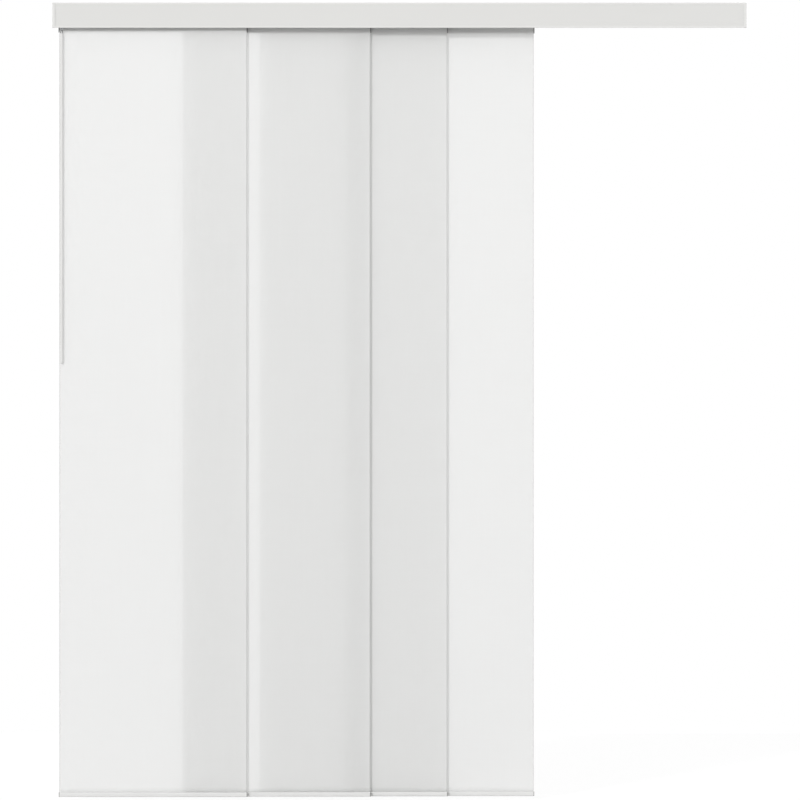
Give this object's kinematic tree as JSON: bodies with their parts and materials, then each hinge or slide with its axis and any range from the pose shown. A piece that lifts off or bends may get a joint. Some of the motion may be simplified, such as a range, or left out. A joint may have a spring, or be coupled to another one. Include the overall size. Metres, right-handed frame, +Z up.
{
  "type": "panel track blind",
  "caption": "Ceiling-hung panel track blind: flat fabric panels slide past each other on roller carriers under a channelled headrail with a white fascia and a pull wand.",
  "frame": {"origin": "middle of the ceiling plane over the headrail: X at mid width, Y at the middle of the rail, Z at the top of the mounting brackets", "axes": "+X along the headrail to the viewer's right, +Z up, the fascia faces -Y; the panels hang down -Z"},
  "size_m": [2.134, 0.0896, 2.443],
  "materials": {
    "track_aluminium": "satin white coat",
    "coated_aluminium": "satin white coat",
    "white_plastic": "satin",
    "clip_plastic": "satin",
    "grey_plastic": "satin",
    "truck_plastic": "satin",
    "roller_plastic": "satin",
    "wand_plastic": "gloss",
    "spring_steel": "zinc plated",
    "plated_steel": "zinc plated",
    "hook_wire": "dark zinc plated",
    "tape": "woven",
    "panel_fabric": "woven, light filtering"
  },
  "bodies": {
    "track": {"track_rail": "track_aluminium", "fascia": "white_plastic", "end_cap_left": "white_plastic", "end_cap_right": "white_plastic", "mounting_bracket_1": "spring_steel", "mounting_bracket_2": "spring_steel", "mounting_bracket_3": "spring_steel", "mounting_bracket_4": "spring_steel", "fascia_clips": "clip_plastic", "end_cap_screws": "plated_steel"},
    "panel_1": {"carrier_1": "coated_aluminium", "carrier_end_caps_1": "grey_plastic", "hook_tape_1": "tape", "loop_tape_1": "tape", "fabric_panel_1": "panel_fabric", "bottom_rail_1": "coated_aluminium", "bottom_rail_caps_1": "grey_plastic", "roller_trucks_1": "truck_plastic", "axle_pins_1": "plated_steel", "wand_strap": "spring_steel"},
    "rollers_1_left": {"rollers_1_left": "roller_plastic"},
    "rollers_1_right": {"rollers_1_right": "roller_plastic"},
    "panel_2": {"carrier_2": "coated_aluminium", "carrier_end_caps_2": "grey_plastic", "hook_tape_2": "tape", "loop_tape_2": "tape", "fabric_panel_2": "panel_fabric", "bottom_rail_2": "coated_aluminium", "bottom_rail_caps_2": "grey_plastic", "roller_trucks_2": "truck_plastic", "axle_pins_2": "plated_steel"},
    "rollers_2_left": {"rollers_2_left": "roller_plastic"},
    "rollers_2_right": {"rollers_2_right": "roller_plastic"},
    "panel_3": {"carrier_3": "coated_aluminium", "carrier_end_caps_3": "grey_plastic", "hook_tape_3": "tape", "loop_tape_3": "tape", "fabric_panel_3": "panel_fabric", "bottom_rail_3": "coated_aluminium", "bottom_rail_caps_3": "grey_plastic", "roller_trucks_3": "truck_plastic", "axle_pins_3": "plated_steel"},
    "rollers_3_left": {"rollers_3_left": "roller_plastic"},
    "rollers_3_right": {"rollers_3_right": "roller_plastic"},
    "panel_4": {"carrier_4": "coated_aluminium", "carrier_end_caps_4": "grey_plastic", "hook_tape_4": "tape", "loop_tape_4": "tape", "fabric_panel_4": "panel_fabric", "bottom_rail_4": "coated_aluminium", "bottom_rail_caps_4": "grey_plastic", "roller_trucks_4": "truck_plastic", "axle_pins_4": "plated_steel"},
    "rollers_4_left": {"rollers_4_left": "roller_plastic"},
    "rollers_4_right": {"rollers_4_right": "roller_plastic"},
    "wand_hook": {"wand_hook": "hook_wire"},
    "wand": {"wand_cap": "wand_plastic", "wand_rod": "wand_plastic", "wand_tip": "wand_plastic"}
  },
  "joints": [
    {"name": "panel_1_slide", "type": "slide", "parent": "track", "child": "panel_1", "axis": [1, 0, 0], "range_m": [-0.0077, 1.5237]},
    {"name": "rollers_1_left_spin", "type": "hinge", "parent": "panel_1", "child": "rollers_1_left", "pos_m": [-1.023, -0.024, -0.01845], "axis": [0, 1, 0], "continuous": true},
    {"name": "rollers_1_right_spin", "type": "hinge", "parent": "panel_1", "child": "rollers_1_right", "pos_m": [-0.493, -0.024, -0.01845], "axis": [0, 1, 0], "continuous": true},
    {"name": "panel_2_slide", "type": "slide", "parent": "track", "child": "panel_2", "axis": [1, 0, 0], "range_m": [-0.3872, 1.1442]},
    {"name": "rollers_2_left_spin", "type": "hinge", "parent": "panel_2", "child": "rollers_2_left", "pos_m": [-0.6435, -0.008, -0.01845], "axis": [0, 1, 0], "continuous": true},
    {"name": "rollers_2_right_spin", "type": "hinge", "parent": "panel_2", "child": "rollers_2_right", "pos_m": [-0.1135, -0.008, -0.01845], "axis": [0, 1, 0], "continuous": true},
    {"name": "panel_3_slide", "type": "slide", "parent": "track", "child": "panel_3", "axis": [1, 0, 0], "range_m": [-0.6242, 0.9072]},
    {"name": "rollers_3_left_spin", "type": "hinge", "parent": "panel_3", "child": "rollers_3_left", "pos_m": [-0.4065, 0.008, -0.01845], "axis": [0, 1, 0], "continuous": true},
    {"name": "rollers_3_right_spin", "type": "hinge", "parent": "panel_3", "child": "rollers_3_right", "pos_m": [0.1235, 0.008, -0.01845], "axis": [0, 1, 0], "continuous": true},
    {"name": "panel_4_slide", "type": "slide", "parent": "track", "child": "panel_4", "axis": [1, 0, 0], "range_m": [-0.8912, 0.6402]},
    {"name": "rollers_4_left_spin", "type": "hinge", "parent": "panel_4", "child": "rollers_4_left", "pos_m": [-0.1395, 0.024, -0.01845], "axis": [0, 1, 0], "continuous": true},
    {"name": "rollers_4_right_spin", "type": "hinge", "parent": "panel_4", "child": "rollers_4_right", "pos_m": [0.3905, 0.024, -0.01845], "axis": [0, 1, 0], "continuous": true},
    {"name": "wand_swing_side", "type": "hinge", "parent": "panel_1", "child": "wand_hook", "pos_m": [-1.039, -0.0365, -0.0785], "axis": [0, 1, 0], "range_deg": [-60, 60]},
    {"name": "wand_swing_out", "type": "hinge", "parent": "wand_hook", "child": "wand", "pos_m": [-1.039, -0.0365, -0.0925], "axis": [-1, 0, 0], "range_deg": [0, 45]}
  ],
  "couplings": [
    {"joint": "rollers_1_left_spin", "follows": "panel_1_slide", "rad_per_m": 200},
    {"joint": "rollers_1_right_spin", "follows": "panel_1_slide", "rad_per_m": 200},
    {"joint": "rollers_2_left_spin", "follows": "panel_2_slide", "rad_per_m": 200},
    {"joint": "rollers_2_right_spin", "follows": "panel_2_slide", "rad_per_m": 200},
    {"joint": "rollers_3_left_spin", "follows": "panel_3_slide", "rad_per_m": 200},
    {"joint": "rollers_3_right_spin", "follows": "panel_3_slide", "rad_per_m": 200},
    {"joint": "rollers_4_left_spin", "follows": "panel_4_slide", "rad_per_m": 200},
    {"joint": "rollers_4_right_spin", "follows": "panel_4_slide", "rad_per_m": 200}
  ]
}
